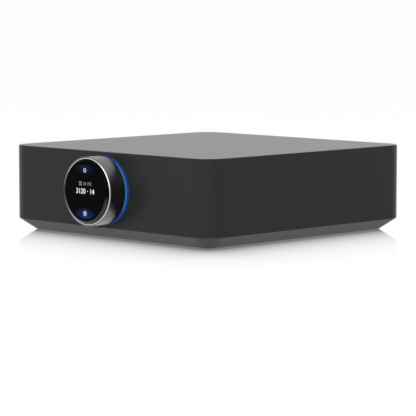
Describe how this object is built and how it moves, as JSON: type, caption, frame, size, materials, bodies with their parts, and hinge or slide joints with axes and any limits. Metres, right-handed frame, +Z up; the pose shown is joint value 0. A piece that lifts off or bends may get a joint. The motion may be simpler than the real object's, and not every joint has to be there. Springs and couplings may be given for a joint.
{
  "type": "streaming amplifier",
  "caption": "Compact square streaming amplifier with a rotary knob round a fixed round display, a light ring and rear sockets.",
  "frame": {"origin": "on the table, under the middle of the housing", "axes": "+X to the right, +Y to the back, +Z up; the knob faces -Y"},
  "size_m": [0.222, 0.263, 0.0672],
  "materials": {
    "housing_metal": "bead blasted and anodised, satin",
    "tray_metal": "die cast and powder coated, satin",
    "knob_metal": "knurled and anodised",
    "polished_metal": "turned and polished",
    "cover_glass": "polished, printed black behind",
    "display_panel": "round display",
    "light_guide": "frosted acrylic",
    "glass_filled_nylon": "moulded",
    "cast_metal": "die cast, bare",
    "bearing_plastic": "moulded acetal",
    "spring_steel": "stamped",
    "magnet": "bonded magnet",
    "board": "solder mask on glass fibre laminate",
    "black_screw": "black oxide",
    "zinc_screw": "zinc plated",
    "rear_plastic": "moulded, fine spark texture",
    "socket_plastic": "moulded",
    "gold_plate": "gold plated",
    "nickel_plate": "nickel plated",
    "red_plastic": "moulded",
    "dark_cap_plastic": "moulded",
    "rubber": "moulded",
    "bare_aluminium": "extruded, bare",
    "ferrite": "sintered",
    "winding_tape": "polyester tape over the winding",
    "capacitor_sleeve": "shrink sleeve",
    "chip_plastic": "moulded epoxy",
    "flex_film": "polyimide film"
  },
  "bodies": {
    "chassis": {"enclosure_shell": "housing_metal", "base_tray": "tray_metal", "foot_pads": "rubber", "tray_screws": "black_screw", "spindle_housing": "cast_metal", "housing_screws": "zinc_screw", "spindle_bush": "bearing_plastic", "retaining_ring": "spring_steel", "encoder_board": "board", "light_ring": "light_guide", "led_board": "board", "display_carrier": "glass_filled_nylon", "display_module": "display_panel", "display_glass": "cover_glass", "display_cable": "flex_film", "rear_panel": "rear_plastic", "rear_panel_screws": "black_screw", "post_flanges": "dark_cap_plastic", "post_shafts": "gold_plate", "post_nuts": "nickel_plate", "rca_barrels": "gold_plate", "rca_insulators": "socket_plastic", "optical_jack": "socket_plastic", "usb_jack": "nickel_plate", "hdmi_jack": "nickel_plate", "jack_tongues": "socket_plastic", "network_jack": "socket_plastic", "reset_switch": "nickel_plate", "mains_inlet": "socket_plastic", "mains_pins": "nickel_plate", "wifi_antennas": "board", "power_board": "board", "main_board": "board", "amplifier_board": "board", "board_standoffs": "nickel_plate", "board_screws": "zinc_screw", "io_board": "board", "terminal_board": "board", "amplifier_heat_sink": "bare_aluminium", "amplifier_chips": "chip_plastic", "output_inductors": "ferrite", "transformer_core": "ferrite", "transformer_winding": "winding_tape", "bulk_capacitors": "capacitor_sleeve", "mains_choke": "ferrite", "streaming_module": "nickel_plate"},
    "knob": {"knob_ring": "knob_metal", "knob_trim_ring": "polished_metal", "encoder_magnet": "magnet"},
    "dust_flap": {"optical_flap": "socket_plastic"},
    "reset_plunger": {"reset_button": "dark_cap_plastic"},
    "insert_right_plus": {"post_insert_right_plus": "nickel_plate"},
    "cap_right_plus": {"post_cap_right_plus": "red_plastic"},
    "insert_right_minus": {"post_insert_right_minus": "nickel_plate"},
    "cap_right_minus": {"post_cap_right_minus": "dark_cap_plastic"},
    "insert_left_plus": {"post_insert_left_plus": "nickel_plate"},
    "cap_left_plus": {"post_cap_left_plus": "red_plastic"},
    "insert_left_minus": {"post_insert_left_minus": "nickel_plate"},
    "cap_left_minus": {"post_cap_left_minus": "dark_cap_plastic"}
  },
  "joints": [
    {"name": "knob_turn", "type": "hinge", "parent": "chassis", "child": "knob", "pos_m": [0, -0.12, 0.03805], "axis": [0, 1, 0], "continuous": true},
    {"name": "flap_swing", "type": "hinge", "parent": "chassis", "child": "dust_flap", "pos_m": [0.005, 0.1095, 0.0306], "axis": [-1, 0, 0], "range_deg": [0, 80], "stiffness_Nm_per_rad": 0.0002},
    {"name": "reset_press", "type": "slide", "parent": "chassis", "child": "reset_plunger", "axis": [0, -1, 0], "range_m": [0, 0.0008], "stiffness_N_per_m": 600},
    {"name": "post_slide_right_plus", "type": "slide", "parent": "chassis", "child": "insert_right_plus", "axis": [0, 1, 0], "range_m": [0, 0.005]},
    {"name": "post_turn_right_plus", "type": "hinge", "parent": "insert_right_plus", "child": "cap_right_plus", "pos_m": [0.062, 0.12, 0.0465], "axis": [0, 1, 0], "range_deg": [0, 1800]},
    {"name": "post_slide_right_minus", "type": "slide", "parent": "chassis", "child": "insert_right_minus", "axis": [0, 1, 0], "range_m": [0, 0.005]},
    {"name": "post_turn_right_minus", "type": "hinge", "parent": "insert_right_minus", "child": "cap_right_minus", "pos_m": [0.062, 0.12, 0.0275], "axis": [0, 1, 0], "range_deg": [0, 1800]},
    {"name": "post_slide_left_plus", "type": "slide", "parent": "chassis", "child": "insert_left_plus", "axis": [0, 1, 0], "range_m": [0, 0.005]},
    {"name": "post_turn_left_plus", "type": "hinge", "parent": "insert_left_plus", "child": "cap_left_plus", "pos_m": [0.043, 0.12, 0.0465], "axis": [0, 1, 0], "range_deg": [0, 1800]},
    {"name": "post_slide_left_minus", "type": "slide", "parent": "chassis", "child": "insert_left_minus", "axis": [0, 1, 0], "range_m": [0, 0.005]},
    {"name": "post_turn_left_minus", "type": "hinge", "parent": "insert_left_minus", "child": "cap_left_minus", "pos_m": [0.043, 0.12, 0.0275], "axis": [0, 1, 0], "range_deg": [0, 1800]}
  ],
  "couplings": [
    {"joint": "post_turn_right_plus", "follows": "post_slide_right_plus", "rad_per_m": 6283},
    {"joint": "post_turn_right_minus", "follows": "post_slide_right_minus", "rad_per_m": 6283},
    {"joint": "post_turn_left_plus", "follows": "post_slide_left_plus", "rad_per_m": 6283},
    {"joint": "post_turn_left_minus", "follows": "post_slide_left_minus", "rad_per_m": 6283}
  ]
}
